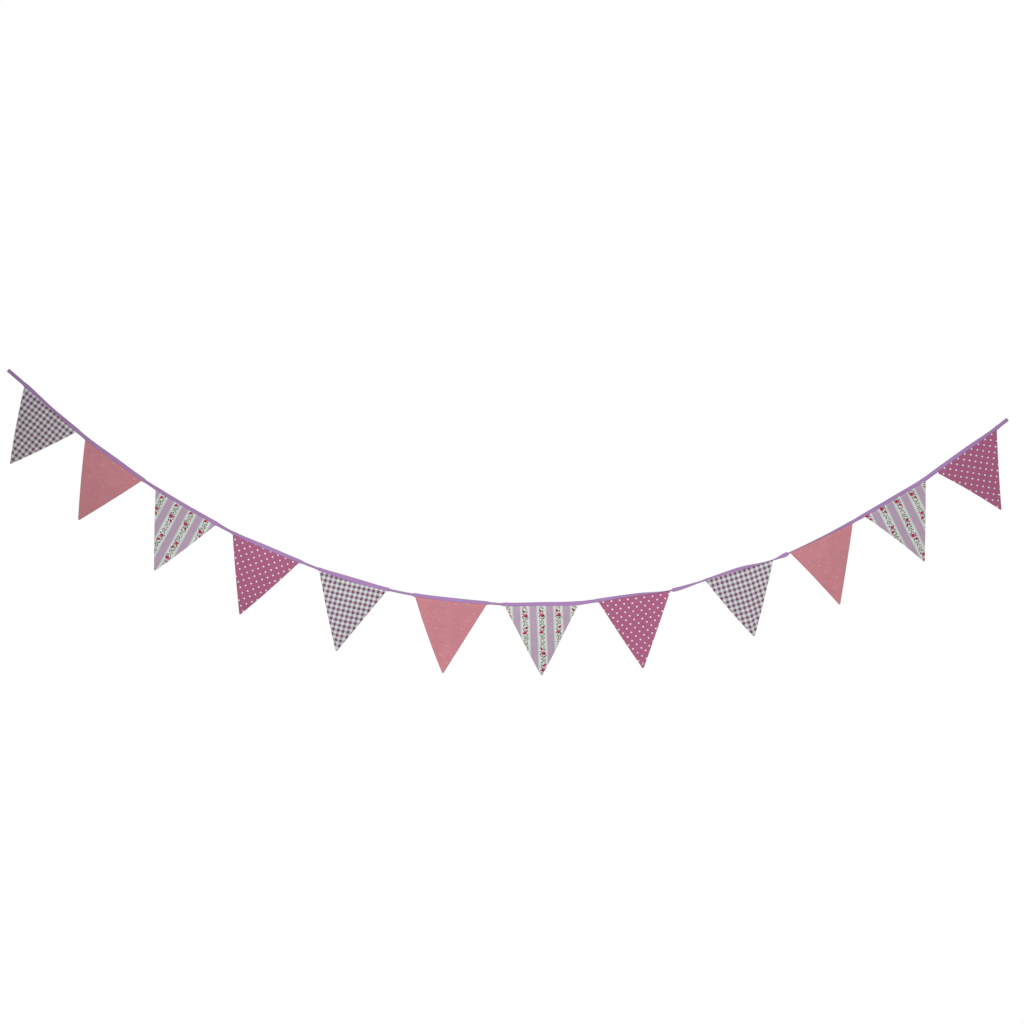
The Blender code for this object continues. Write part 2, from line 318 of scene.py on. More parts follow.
# Cloth colours
PLUM = "#77466a"
GINGHAM_WHITE = "#d6dcda"
CORAL = "#c8828b"
SPRIG = "#c9b4c4"
SPRIG_SPECK = "#7f6a5e"
RASPBERRY = "#ac5f83"
DOT_WHITE = "#e3e8eb"
STRIPE_MAUVE = "#b490ae"
STRIPE_GREY = "#b0a5b2"
STRIPE_LINE = "#bcc7c5"
STRIPE_WHITE = "#e0e3e1"
SPRAY_GREEN = "#5c6b52"
BINDING_MAUVE = "#a780b3"
THREAD_MAUVE = "#b28fbb"
WHITE = (1.0, 1.0, 1.0, 1.0)

# Place of the colour among the outputs of a node that mixes two colours
MIXED_COLOUR = 2

# Sewing thread's surface
FIBRE_SIZE = 0.4 * MM
TWIST_HEIGHT = 0.05 * MM

# Camera, facing the string's middle from in front, in millimetres of lens and metres of place
LENS = 112.5
SENSOR = 36.0
CAMERA_PLACE = (1.26, -8.0, -0.355)

# Studio, in metres, watts and degrees
FLOOR_HEIGHT = -2.1
FLOOR_RADIUS = 2.4
FLOOR_COLOUR = "#ece9e4"
AMBIENT = 0.40
FRONT_LAMP = {"place": (0.95, -3.3, 0.75), "target": (1.42, 0.0, -0.55), "power": 350.0}
BACK_LAMP = {"place": (1.3, 3.2, 1.2), "target": (1.3, 0.0, -0.45), "power": 40.0}
FRONT_SPREAD = 65.0
FRONT_LAMP_RADIUS = 0.5
BACK_LAMP_WIDTH = 1.6


def linear(hex_colour):
    """The linear colour of an sRGB hex value."""
    channels = [int(hex_colour[start : start + 2], 16) / 255 for start in (1, 3, 5)]
    curved = [c / 12.92 if c <= 0.04045 else ((c + 0.055) / 1.055) ** 2.4 for c in channels]
    return (*curved, 1.0)


# The binding's course


def eased(part):
    """A share from 0 to 1, with a gentle start and stop."""
    return part * part * (3.0 - 2.0 * part)


def smooth_through(knots, values, place, level_knots=False):
    """Read smooth curves through rows of values, level at each knot where that is asked for."""
    place = np.asarray(place, dtype=float)
    values = np.asarray(values, dtype=float).reshape(len(knots), -1)
    slopes = np.gradient(values, knots, axis=0)
    if level_knots:
        slopes = np.zeros_like(values)
    first = np.clip(np.searchsorted(knots, place, side="right") - 1, 0, len(knots) - 2)
    width = (knots[first + 1] - knots[first])[..., None]
    part = (place - knots[first])[..., None] / width
    rise = eased(part)
    lift_start = part * (1.0 - part) ** 2 * width
    lift_end = part * part * (part - 1.0) * width
    start = values[first] * (1.0 - rise) + slopes[first] * lift_start
    return start + values[first + 1] * rise + slopes[first + 1] * lift_end


def unit(way):
    return way / np.linalg.norm(way, axis=-1, keepdims=True)


class Course:
    """The binding's line, its roll, and the places along it where the pennants begin and end."""

    def __init__(self):
        self.axis = self.axis_through()
        steps = np.hypot(*np.diff(self.axis, axis=0).T)
        self.knots = np.concatenate(([0.0], np.cumsum(steps)))
        self.length = self.knots[-1]
        self.starts = self.knots[2:-2:3]
        self.middles = self.knots[3:-2:3]
        self.stops = self.knots[4:-2:3]
        self.set_roll()

    def axis_through(self):
        """The binding's axis, half of its visible depth above where the cloth leaves it."""
        raised = []
        for row, (left_roll, middle_roll, right_roll, *_) in zip(PENNANTS, ROLL):
            left = np.array(row[1:3]) * MM
            right = np.array(row[3:5]) * MM
            along = unit(right - left)
            up = np.array((-along[1], along[0]))
            sag = row[9] * MM
            middle = (left + right) / 2 - up * sag
            for point, roll in ((left, left_roll), (middle, middle_roll), (right, right_roll)):
                raised.append(point + up * BINDING_DEPTH / 2 * math.cos(math.radians(roll)))
        left_end = np.array(LEFT_END) * MM
        right_end = np.array(RIGHT_END) * MM
        first = left_end + unit(raised[0] - left_end) * END_RUN
        last = right_end + unit(raised[-1] - right_end) * END_RUN
        return np.array([left_end, first, *raised, last, right_end])

    def set_roll(self):
        places = [0.0, END_RUN]
        angles = [0, 0]
        before_next = (*(self.starts[1:] - CORNER_RUN), self.length - END_RUN)
        for index, angles_here in enumerate(ROLL):
            stop = self.stops[index]
            places.extend((self.starts[index], self.middles[index], stop, stop + CORNER_RUN))
            places.append(before_next[index])
            angles.extend(angles_here)
        self.roll_places = np.array((*places, self.length))
        self.roll_angles = np.radians((*angles, 0))

    def point(self, place):
        x_and_z = smooth_through(self.knots, self.axis, place)
        return np.stack((x_and_z[..., 0], np.zeros(x_and_z.shape[:-1]), x_and_z[..., 1]), axis=-1)

    def roll(self, place):
        return smooth_through(self.roll_places, self.roll_angles, place, level_knots=True)[..., 0]

    def up(self, place):
        step = 1.0 * MM
        after = self.point(np.minimum(place + step, self.length))
        before = self.point(np.maximum(place - step, 0.0))
        along = unit(after - before)
        return np.stack((-along[..., 2], along[..., 1], along[..., 0]), axis=-1)

    def depth(self, place):
        """The binding is drawn in a little past the outer pennants, towards its free ends."""
        past_corner = np.maximum(self.starts[0] - place, place - self.stops[-1])
        share = np.clip(past_corner / DRAWN_IN_OVER, 0.0, 1.0)
        return BINDING_DEPTH + (END_DEPTH - BINDING_DEPTH) * share

    def in_section(self, place, down, front):
        """Points of the binding's section: down towards its mouth, and out to its front face."""
        roll = self.roll(place)[..., None]
        up = self.up(place)
        mouth_way = FRONT_WAY * np.sin(roll) - up * np.cos(roll)
        face_way = FRONT_WAY * np.cos(roll) + up * np.sin(roll)
        return self.point(place) + mouth_way * down[..., None] + face_way * front[..., None]

    def over_cloth(self, place):
        """1 where the binding holds a pennant and 0 between them, eased at the corners."""
        held = np.zeros(np.shape(place))
        for start, stop in zip(self.starts, self.stops):
            inside = np.minimum(place - start, stop - place) + CORNER_EASE / 2
            held = np.maximum(held, np.clip(inside / CORNER_EASE, 0.0, 1.0))
        return eased(held)


# Meshes


def cloth_piece(name, points, flat, material, thickness, weights=None):
    """A sheet laid on points[row, column], with its flat cloth as UV map, thickened on both sides.

    Weights from 0 to 1 draw the thickness in, at the least to the share that a turned edge has.
    """
    rows, columns = points.shape[:2]
    grid = bmesh.new()
    bmesh.ops.create_grid(grid, x_segments=columns - 1, y_segments=rows - 1, size=0.5)
    mesh = bpy.data.meshes.new(name)
    grid.to_mesh(mesh)
    grid.free()
    square = np.empty(len(mesh.vertices) * 3)
    mesh.vertices.foreach_get("co", square)
    square = square.reshape(-1, 3) + 0.5
    column = np.rint(square[:, 0] * (columns - 1)).astype(int)
    row = np.rint(square[:, 1] * (rows - 1)).astype(int)
    mesh.vertices.foreach_set("co", points[row, column].ravel())
    corners = np.empty(len(mesh.loops), dtype=int)
    mesh.loops.foreach_get("vertex_index", corners)
    mesh.uv_layers.new(name="cloth").data.foreach_set("uv", flat[row, column][corners].ravel())
    mesh.materials.append(material)
    mesh.shade_smooth()
    piece = bpy.data.objects.new(name, mesh)
    bpy.context.scene.collection.objects.link(piece)
    layers = piece.modifiers.new("layers", "SOLIDIFY")
    layers.thickness = thickness
    layers.offset = 0.0
    if weights is not None:
        group = piece.vertex_groups.new(name="full thickness")
        for index, weight in enumerate(weights[row, column]):
            group.add([index], float(weight), "REPLACE")
        layers.vertex_group = group.name
        layers.thickness_vertex_group = EDGE_THICKNESS / thickness
    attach(piece, "root")
    return piece


# Pennants


def panel_rows(drop):
    """Rows of a panel: the share left inside the fold, and the drop below the binding's mouth."""
    rows = [(share, 0.0) for share in INSIDE_SHARES]
    rows.extend((0.0, below * MM) for below in BEND_DROPS)
    start = BEND_DROPS[-1] * MM
    stop = drop - TIP_RISES[0] * MM
    count = round((stop - start) / ROW_STEP)
    rows.extend((0.0, start + (stop - start) * step / count) for step in range(1, count))
    rows.extend((0.0, drop - rise * MM) for rise in TIP_RISES)
    inside, below = np.array(rows).T
    return inside[:, None], below[:, None]


def panel_columns(width):
    """How far from the left side each column lies, close together over the turned edges."""
    offsets = np.array(EDGE_OFFSETS) * MM
    edge = np.minimum(offsets, offsets / offsets[-1] * width * EDGE_SHARE_AT_MOST)
    inner = np.linspace(0.0, 1.0, INNER_COLUMNS + 2)[1:-1]
    middle = edge[:, -1:] + (width - 2 * edge[:, -1:]) * inner
    return np.concatenate((edge, middle, width - edge[:, ::-1]), axis=1)


def ripples(points, height, length):
    """Gentle unevenness of hanging cotton, read from noise at each point."""
    found = np.empty(points.shape[:2])
    for row, column in np.ndindex(found.shape):
        place = Vector(points[row, column]) / length
        found[row, column] = noise.noise(place) + FINER_SHARE * noise.noise(place * FINER_RIPPLES)
    return found * height


def edge_weights(from_edge):
    """How full the panel is at a distance from its turned edge: round edge, seam ridge, then panel."""
    edge = np.sqrt(1.0 - (1.0 - np.clip(from_edge / EDGE_ROUND, 0.0, 1.0)) ** 2)
    past_seam = np.clip((from_edge - SEAM_WIDTH) / SEAM_STEP + 0.5, 0.0, 1.0)
    inner = SEAM_THICKNESS + (PANEL_THICKNESS - SEAM_THICKNESS) * past_seam
    thickness = EDGE_THICKNESS + (inner - EDGE_THICKNESS) * edge
    return (thickness - EDGE_THICKNESS) / (SEAM_THICKNESS - EDGE_THICKNESS)


class Panel:
    """One pennant's rows and columns of points, and how they hang from the binding."""

    def __init__(self, index, course):
        self.index = index
        self.course = course
        self.row = PENNANTS[index]
        start = course.starts[index]
        stop = course.stops[index]
        middle = course.middles[index]
        self.top = stop - start
        self.top_way = unit(course.point(stop) - course.point(start))
        self.tip = np.array((self.row[5], 0.0, self.row[6])) * MM
        self.drop = float((course.point(middle) - self.tip) @ course.up(middle))
        self.inside, self.below = panel_rows(self.drop)
        self.share = self.below / self.drop
        self.width = self.top * (1 - self.share) + TIP_WIDTH * self.share
        self.from_left = panel_columns(self.width)
        above_tip = np.clip((self.drop - self.below) / TIP_ROUND, 0.0, 1.0)
        narrowed = TIP_END_SHARE + (1.0 - TIP_END_SHARE) * np.sqrt(1.0 - (1.0 - above_tip) ** 2)
        self.across = 0.5 + (self.from_left / self.width - 0.5) * narrowed
        self.along = start + self.top * self.across
        self.calm = eased(np.clip(self.below / CALM_BELOW_MOUTH, 0.0, 1.0))

    def hung_straight(self):
        """Points from inside the fold down to the blunt tip, with bowed and slightly wavy sides."""
        half_depth = self.course.depth(self.along) / 2
        fold_start = half_depth - FOLD_ABOVE_CLOTH
        down = half_depth - self.inside * (half_depth + fold_start)
        mouth = self.course.in_section(self.along, down, np.zeros(down.shape))
        tip_points = self.tip + self.top_way * ((self.across - 0.5) * TIP_WIDTH)[..., None]
        points = mouth * (1 - self.share[..., None]) + tip_points * self.share[..., None]
        left_bow, right_bow = self.row[7:9]
        bow = (right_bow * self.across - left_bow * (1 - self.across)) * MM
        bow = bow * 4 * self.share * (1 - self.share)
        wobble = ripples(points * (1.0, 0.0, 1.0), EDGE_WOBBLE, RIPPLE_LENGTH)
        wobble = wobble * self.calm * (1 - self.share)
        return points + self.top_way * (bow + wobble)[..., None]

    def out_of_plane(self, points):
        """How far each point stands to the front: the hang, the bend at the fold, and the creases."""
        tip_out, middle_out, left_out, right_out = np.array(DRAPE[self.index]) * MM
        left_part = np.clip(1 - 2 * self.across, 0.0, 1.0) ** 2
        right_part = np.clip(2 * self.across - 1, 0.0, 1.0) ** 2
        belly = middle_out + left_out * left_part + right_out * right_part
        hang = belly * np.sin(math.pi * self.share) + tip_out * self.share * self.share
        roll = self.course.roll(self.along)
        lean = np.clip(np.sin(np.abs(roll)) - self.below / BEND_RADIUS, 0.0, 1.0)
        bend = BEND_RADIUS * (np.sqrt(1.0 - lean * lean) - np.cos(roll)) * (1 - self.share)
        bend = np.where(self.inside > 0.0, 0.0, bend * np.sign(roll))
        uneven = self.crease_relief() + ripples(points, RIPPLE_HEIGHT, RIPPLE_LENGTH)
        return hang + bend + uneven * self.calm

    def crease_relief(self):
        """Soft troughs and ridges: each fades out towards its two ends."""
        relief = np.zeros(self.across.shape)
        x = (self.across - 0.5) * self.width
        y = np.broadcast_to(self.share * self.drop, relief.shape)
        for from_across, from_down, to_across, to_down, half_width, height in CREASES[self.index + 1]:
            start_x = (from_across - 0.5) * self.top * (1 - from_down)
            stop_x = (to_across - 0.5) * self.top * (1 - to_down)
            start = np.array((start_x, from_down * self.drop))
            stop = np.array((stop_x, to_down * self.drop))
            length = np.linalg.norm(stop - start)
            way = (stop - start) / length
            part = ((x - start[0]) * way[0] + (y - start[1]) * way[1]) / length
            aside = (x - start[0]) * way[1] - (y - start[1]) * way[0]
            fade = eased(np.clip(CREASE_REACH - np.abs(part - 0.5) * 2, 0.0, 1.0))
            relief += height * MM * fade * np.exp(-((aside / (half_width * MM)) ** 2))
        return relief

    def flat_cloth(self, points):
        """Each point's place on the flat cloth: level with the top edge, and down along the cloth."""
        left = np.array((self.row[1], 0.0, self.row[2])) * MM
        right = np.array((self.row[3], 0.0, self.row[4])) * MM
        along = unit(right - left)
        down = np.array((along[2], 0.0, -along[0]))
        from_middle = points - (left + right) / 2
        across = from_middle @ along
        below = from_middle @ down
        steps = np.hypot(np.diff(below, axis=0), np.diff(points[..., 1], axis=0))
        run = np.concatenate((np.zeros((1, points.shape[1])), np.cumsum(steps, axis=0)))
        mouth_row = len(INSIDE_SHARES)
        run += below[mouth_row] - run[mouth_row]
        turn_down, turn_across = np.radians(CUTS[self.index][:2])
        cut_across, cut_down = CUTS[self.index][2:]
        turned_across = across * math.cos(turn_down) + run * math.sin(turn_down) - cut_across * MM
        turned_down = run * math.cos(turn_across) - across * math.sin(turn_across) - cut_down * MM
        return np.stack((turned_across, turned_down), axis=-1)

    def weights(self):
        """How full the panel is at each point, for the thickness of its layers."""
        from_side = np.minimum(self.from_left, self.width - self.from_left)
        return edge_weights(np.minimum(from_side, self.drop - self.below))


def make_pennant(index, course, material):
    """One turned triangle of two layers, from the fold of the binding down to its blunt tip."""
    panel = Panel(index, course)
    points = panel.hung_straight()
    points[..., 1] -= panel.out_of_plane(points)
    name = f"pennant_cloth_{index + 1:02d}"
    flat = panel.flat_cloth(points)
    piece = cloth_piece(name, points, flat, material, SEAM_THICKNESS, panel.weights())
    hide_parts(f"pennant_{index + 1:02d}")


# Binding


def hem_place(held):
    """How far out from the fold's middle plane the hems lie: further where a pennant is held."""
    return HEM_OUT_CLOSED + (HEM_OUT_OVER_CLOTH - HEM_OUT_CLOSED) * held


def strip_section(depth, held):
    """The folded strip seen from its end, from one hem round the fold to the other hem."""
    hem_out = hem_place(held)
    wall_out = hem_out + WALL_PAST_HEM
    mouth = depth / 2
    turn = WALL_PAST_HEM / 2
    section = [(mouth - HEM_WIDTH, hem_out), (mouth - HEM_WIDTH / 2, hem_out)]
    for angle in np.radians(MOUTH_TURN):
        out = hem_out + turn + turn * math.sin(angle)
        section.append((mouth - turn + turn * math.cos(angle), out))
    fold_middle = -mouth + wall_out + STRIP_THICKNESS / 2
    for share in WALL_SHARES:
        down = mouth - turn + (fold_middle - mouth + turn) * share
        from_stitch = (mouth - down - STITCH_ABOVE_MOUTH) / MM
        pinch = STITCH_PINCH * math.exp(-from_stitch * from_stitch)
        section.append((down, wall_out + WALL_CROWN * math.sin(math.pi * share) - pinch))
    front = list(section)
    for angle in np.radians(FOLD_TURN):
        front.append((fold_middle - wall_out * math.sin(angle), wall_out * math.cos(angle)))
    top = (fold_middle - wall_out, 0.0)
    back = [(down, -out) for down, out in reversed(front)]
    return np.array([*front, top, *back])


def make_strip(course, material):
    """The bias strip: folded over the pennants, with its raw edges turned in along the mouth."""
    count = round(course.length / STATION_STEP)
    places = np.linspace(0.0, course.length, count + 1)
    held = course.over_cloth(places)
    sections = np.array([strip_section(d, h) for d, h in zip(course.depth(places), held)])
    sections = sections.transpose(1, 0, 2)
    along = np.broadcast_to(places, sections.shape[:2])
    points = course.in_section(along, sections[..., 0], sections[..., 1])
    uneven = ripples(points, STRIP_RIPPLE_HEIGHT, STRIP_RIPPLE_LENGTH)
    points = points + FRONT_WAY * uneven[..., None]
    around = np.linalg.norm(np.diff(sections[:, 0], axis=0), axis=1)
    around = np.concatenate(([0.0], np.cumsum(around)))
    flat = np.stack((along, np.broadcast_to(around[:, None], along.shape)), axis=-1)
    strip = cloth_piece("binding_strip", points, flat, material, STRIP_THICKNESS)
    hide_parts("binding")
    return strip


def add_stitches(thread, starts, stops):
    """Add one stretch of stitches, each a spindle of thread whose two ends dip into the cloth."""
    stretch = bmesh.new()
    for start, stop in zip(starts, stops):
        way = Vector(stop - start)
        size = Matrix.Diagonal((THREAD / 2, THREAD / 2, way.length / 2, 1.0))
        turn = way.to_track_quat("Z", "Y").to_matrix().to_4x4()
        place = Matrix.Translation((start + stop) / 2) @ turn @ size
        shape = {"u_segments": THREAD_SIDES, "v_segments": THREAD_RINGS, "radius": 1.0}
        bmesh.ops.create_uvsphere(stretch, **shape, matrix=place)
    mesh = bpy.data.meshes.new("stretch of stitches")
    stretch.to_mesh(mesh)
    stretch.free()
    thread.from_mesh(mesh)
    bpy.data.meshes.remove(mesh)


def make_stitching(course, material):
    """Top stitching along the mouth of the binding, through both of its walls."""
    thread = bmesh.new()
    count = int((course.length - 2 * STITCH_FROM_END) / STITCH_PITCH)
    middles = STITCH_FROM_END + STITCH_PITCH * (np.arange(count) + 0.5)
    above_hem = WALL_PAST_HEM + WALL_CROWN - STITCH_PINCH + STRIP_THICKNESS / 2 + THREAD_PROUD
    for side in (1, -1):
        ends = []
        for shift in (-STITCH_LENGTH / 2, STITCH_LENGTH / 2):
            places = middles + shift
            out = hem_place(course.over_cloth(places)) + above_hem
            down = course.depth(places) / 2 - STITCH_ABOVE_MOUTH
            ends.append(course.in_section(places, down, side * out))
        for first in range(0, count, STITCHES_IN_STRETCH):
            stretch = slice(first, first + STITCHES_IN_STRETCH)
            add_stitches(thread, ends[0][stretch], ends[1][stretch])
    mesh = bpy.data.meshes.new("binding_stitching")
    thread.to_mesh(mesh)
    thread.free()
    mesh.materials.append(material)
    mesh.shade_smooth()
    stitching = bpy.data.objects.new("binding_stitching", mesh)
    bpy.context.scene.collection.objects.link(stitching)
    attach(stitching, "root")
    return stitching


# Materials


def add_node(tree, kind, inputs, **settings):
    """Add a node with its settings, and give its usable inputs values or other nodes' outputs."""
    node = tree.nodes.new(kind)
    for name, value in settings.items():
        setattr(node, name, value)
    usable = [socket for socket in node.inputs if socket.enabled]
    for key, value in inputs.items():
        socket = usable[key] if isinstance(key, int) else next(s for s in usable if s.name == key)
        if isinstance(value, bpy.types.Node):
            value = next(output for output in value.outputs if output.enabled)
        if isinstance(value, bpy.types.NodeSocket):
            tree.links.new(value, socket)
        else:
            socket.default_value = value
    return node


def weave_crossing(tree, turned):
    """Above 0 where a warp thread lies on top, and below 0 where a weft thread does."""
    threads = add_node(tree, "ShaderNodeSeparateXYZ", {"Vector": turned})
    waves = []
    for axis in (0, 1):
        turns = {0: threads.outputs[axis], 1: math.pi / THREAD_PITCH}
        angle = add_node(tree, "ShaderNodeMath", turns, operation="MULTIPLY")
        waves.append(add_node(tree, "ShaderNodeMath", {0: angle}, operation="SINE"))
    return add_node(tree, "ShaderNodeMath", {0: waves[0], 1: waves[1]}, operation="MULTIPLY")


def thread_slubs(tree, turned):
    """Thick and thin stretches of the spun threads, warp and weft together."""
    tones = []
    for stretch in ((1 / SLUB_WIDTH, 1 / SLUB_LENGTH, 1.0), (1 / SLUB_LENGTH, 1 / SLUB_WIDTH, 1.0)):
        along = add_node(tree, "ShaderNodeMapping", {"Vector": turned, "Scale": stretch})
        slub = {"Vector": along, "Scale": 1.0, "Detail": 2.0, "Roughness": 0.6}
        tones.append(add_node(tree, "ShaderNodeTexNoise", slub, noise_dimensions="2D"))
    return add_node(tree, "ShaderNodeMath", {0: tones[0], 1: tones[1]}, operation="ADD")


def cotton(name, draw, two_tone=False, weave_turn=0.0):
    """Plain-woven cotton: matt, faintly fuzzy at a glancing angle, with uneven threads.

    draw(tree, place) gives the colour at a place on the flat cloth, in millimetres. For two-tone
    cloth, whose warp and weft differ, it is draw(tree, place, over), and over is 1 where a warp
    thread lies on top and 0 where a weft thread does.
    """
    material = bpy.data.materials.new(name)
    material.use_nodes = True
    tree = material.node_tree
    shader = tree.nodes["Principled BSDF"]
    shader.inputs["Roughness"].default_value = 0.85
    shader.inputs["Sheen Weight"].default_value = 0.12
    shader.inputs["Sheen Roughness"].default_value = 0.5
    shader.inputs["Specular IOR Level"].default_value = 0.25
    flat = add_node(tree, "ShaderNodeUVMap", {}, uv_map="cloth")
    place = add_node(tree, "ShaderNodeVectorMath", {0: flat, "Scale": 1 / MM}, operation="SCALE")
    on_the_weave = {"Vector": place, "Rotation": (0.0, 0.0, weave_turn)}
    turned = add_node(tree, "ShaderNodeMapping", on_the_weave)
    crossing = weave_crossing(tree, turned)
    slubs = thread_slubs(tree, turned)
    if two_tone:
        either = {"Value": crossing, "From Min": -0.3, "From Max": 0.3}
        drawn = draw(tree, place, add_node(tree, "ShaderNodeMapRange", either))
    else:
        drawn = draw(tree, place)

    # Uneven dye and thread: slubs and wide patches shade the colour together
    faded = {"Vector": place, "Scale": 1 / FADED_PATCH, "Detail": 3.0}
    patches = add_node(tree, "ShaderNodeTexNoise", faded, noise_dimensions="2D")
    both = {0: patches, 1: 0.6, 2: slubs}
    uneven = add_node(tree, "ShaderNodeMath", both, operation="MULTIPLY_ADD")
    tones = {"From Min": 0.8, "From Max": 1.8, "To Min": DARKEST_TONE, "To Max": LIGHTEST_TONE}
    shade = add_node(tree, "ShaderNodeMapRange", {"Value": uneven, **tones})
    shaded = {"Factor": 1.0, "A": drawn, "B": shade}
    colour = add_node(tree, "ShaderNodeMix", shaded, data_type="RGBA", blend_type="MULTIPLY")
    tree.links.new(colour.outputs[MIXED_COLOUR], shader.inputs["Base Color"])

    crown = add_node(tree, "ShaderNodeMath", {0: crossing}, operation="ABSOLUTE")
    raised = {0: slubs, 1: 0.8, 2: crown}
    height = add_node(tree, "ShaderNodeMath", raised, operation="MULTIPLY_ADD")
    relief = {"Height": height, "Strength": 0.7, "Distance": WEAVE_HEIGHT * MM}
    bump = add_node(tree, "ShaderNodeBump", relief)
    tree.links.new(bump.outputs[0], shader.inputs["Normal"])
    return material


def draw_gingham(tree, place, over):
    """Quarter-inch gingham: plum and white threads in even bands both ways, mixed where they cross."""
    axes = add_node(tree, "ShaderNodeSeparateXYZ", {"Vector": place})
    bands = []
    for axis, pitch in ((0, CHECK_ACROSS), (1, CHECK_DOWN)):
        turns = {0: axes.outputs[axis], 1: 2 * math.pi / pitch}
        angle = add_node(tree, "ShaderNodeMath", turns, operation="MULTIPLY")
        wave = add_node(tree, "ShaderNodeMath", {0: angle}, operation="COSINE")
        edge = {"Value": wave, "From Min": -BAND_EDGE, "From Max": BAND_EDGE}
        dyed = add_node(tree, "ShaderNodeMapRange", edge)
        tones = {"Factor": dyed, "A": linear(GINGHAM_WHITE), "B": linear(PLUM)}
        bands.append(add_node(tree, "ShaderNodeMix", tones, data_type="RGBA"))
    shows = {"Value": over, "To Min": UNDER_SHOWS, "To Max": 1.0 - UNDER_SHOWS}
    on_top = add_node(tree, "ShaderNodeMapRange", shows)
    woven = {"Factor": on_top, "A": bands[1], "B": bands[0]}
    return add_node(tree, "ShaderNodeMix", woven, data_type="RGBA")


def draw_dots(tree, place):
    """Printed raspberry ground with small white dots on a square lattice that stands on its corner."""
    wander = {"Vector": place, "Scale": 1 / DOT_DRIFT_LENGTH, "Detail": 1.0}
    drift = add_node(tree, "ShaderNodeTexNoise", wander, noise_dimensions="2D")
    both_ways = {0: drift.outputs["Color"], 1: (0.5, 0.5, 0.5)}
    centred = add_node(tree, "ShaderNodeVectorMath", both_ways, operation="SUBTRACT")
    drifted = {0: centred, 1: (DOT_DRIFT, DOT_DRIFT, 0.0), 2: place}
    moved = add_node(tree, "ShaderNodeVectorMath", drifted, operation="MULTIPLY_ADD")
    on_its_corner = {
        "Vector": moved,
        "Location": (0.5, 0.5, 0.0),
        "Rotation": (0.0, 0.0, math.pi / 4),
        "Scale": (1 / DOT_PITCH, 1 / DOT_PITCH, 0.0),
    }
    lattice = add_node(tree, "ShaderNodeMapping", on_its_corner)
    cell = add_node(tree, "ShaderNodeVectorMath", {0: lattice}, operation="FRACTION")
    from_middle = {0: cell, 1: (0.5, 0.5, 0.0)}
    middle = add_node(tree, "ShaderNodeVectorMath", from_middle, operation="SUBTRACT")
    away = add_node(tree, "ShaderNodeVectorMath", {0: middle}, operation="LENGTH")
    radius = DOT_RADIUS / DOT_PITCH
    rim = {"From Min": radius * (1 + DOT_EDGE), "From Max": radius * (1 - DOT_EDGE)}
    dot = add_node(tree, "ShaderNodeMapRange", {"Value": away, **rim})
    tones = {"Factor": dot, "A": linear(RASPBERRY), "B": linear(DOT_WHITE)}
    return add_node(tree, "ShaderNodeMix", tones, data_type="RGBA")


def draw_sprigs(tree, place):
    """Printed coral ground with tiny pale sprigs in loose staggered rows, each with a darker speck."""
    colour = linear(CORAL)
    ragged = {"Vector": place, "Scale": 1 / SPRIG_RAG, "Detail": 1.0}
    rag = add_node(tree, "ShaderNodeTexNoise", ragged, noise_dimensions="2D")
    staggered = (math.sqrt(2) / SPRIG_ACROSS, math.sqrt(2) / SPRIG_DOWN, 0.0)
    for print_colour, radius, shift, strength, channel in (
        (SPRIG, SPRIG_RADIUS, (0.0, 0.0, 0.0), 0.65, "Red"),
        (SPRIG_SPECK, SPECK_RADIUS, (0.09, -0.07, 0.0), 0.9, "Green"),
    ):
        loose = {"Location": shift, "Rotation": (0.0, 0.0, math.pi / 4), "Scale": staggered}
        moved = add_node(tree, "ShaderNodeMapping", {"Vector": place, **loose})
        spread = {"Vector": moved, "Scale": 1.0, "Randomness": 0.4}
        cells = add_node(tree, "ShaderNodeTexVoronoi", spread, voronoi_dimensions="2D")
        size = radius * staggered[0]
        wear = {0: rag, 1: size * SPRIG_WEAR, 2: cells.outputs["Distance"]}
        worn = add_node(tree, "ShaderNodeMath", wear, operation="MULTIPLY_ADD")
        rim = {"From Min": size * SPRIG_OUTER, "From Max": size * SPRIG_INNER, "To Max": strength}
        mark = add_node(tree, "ShaderNodeMapRange", {"Value": worn, **rim})

        # Some sprigs are printed fainter than others
        odd = add_node(tree, "ShaderNodeSeparateColor", {"Color": cells.outputs["Color"]})
        shown = add_node(tree, "ShaderNodeMapRange", {"Value": odd.outputs[channel], "To Min": 0.25})
        mark = add_node(tree, "ShaderNodeMath", {0: mark, 1: shown}, operation="MULTIPLY")
        tones = {"Factor": mark, "A": colour, "B": linear(print_colour)}
        colour = add_node(tree, "ShaderNodeMix", tones, data_type="RGBA")
    return colour


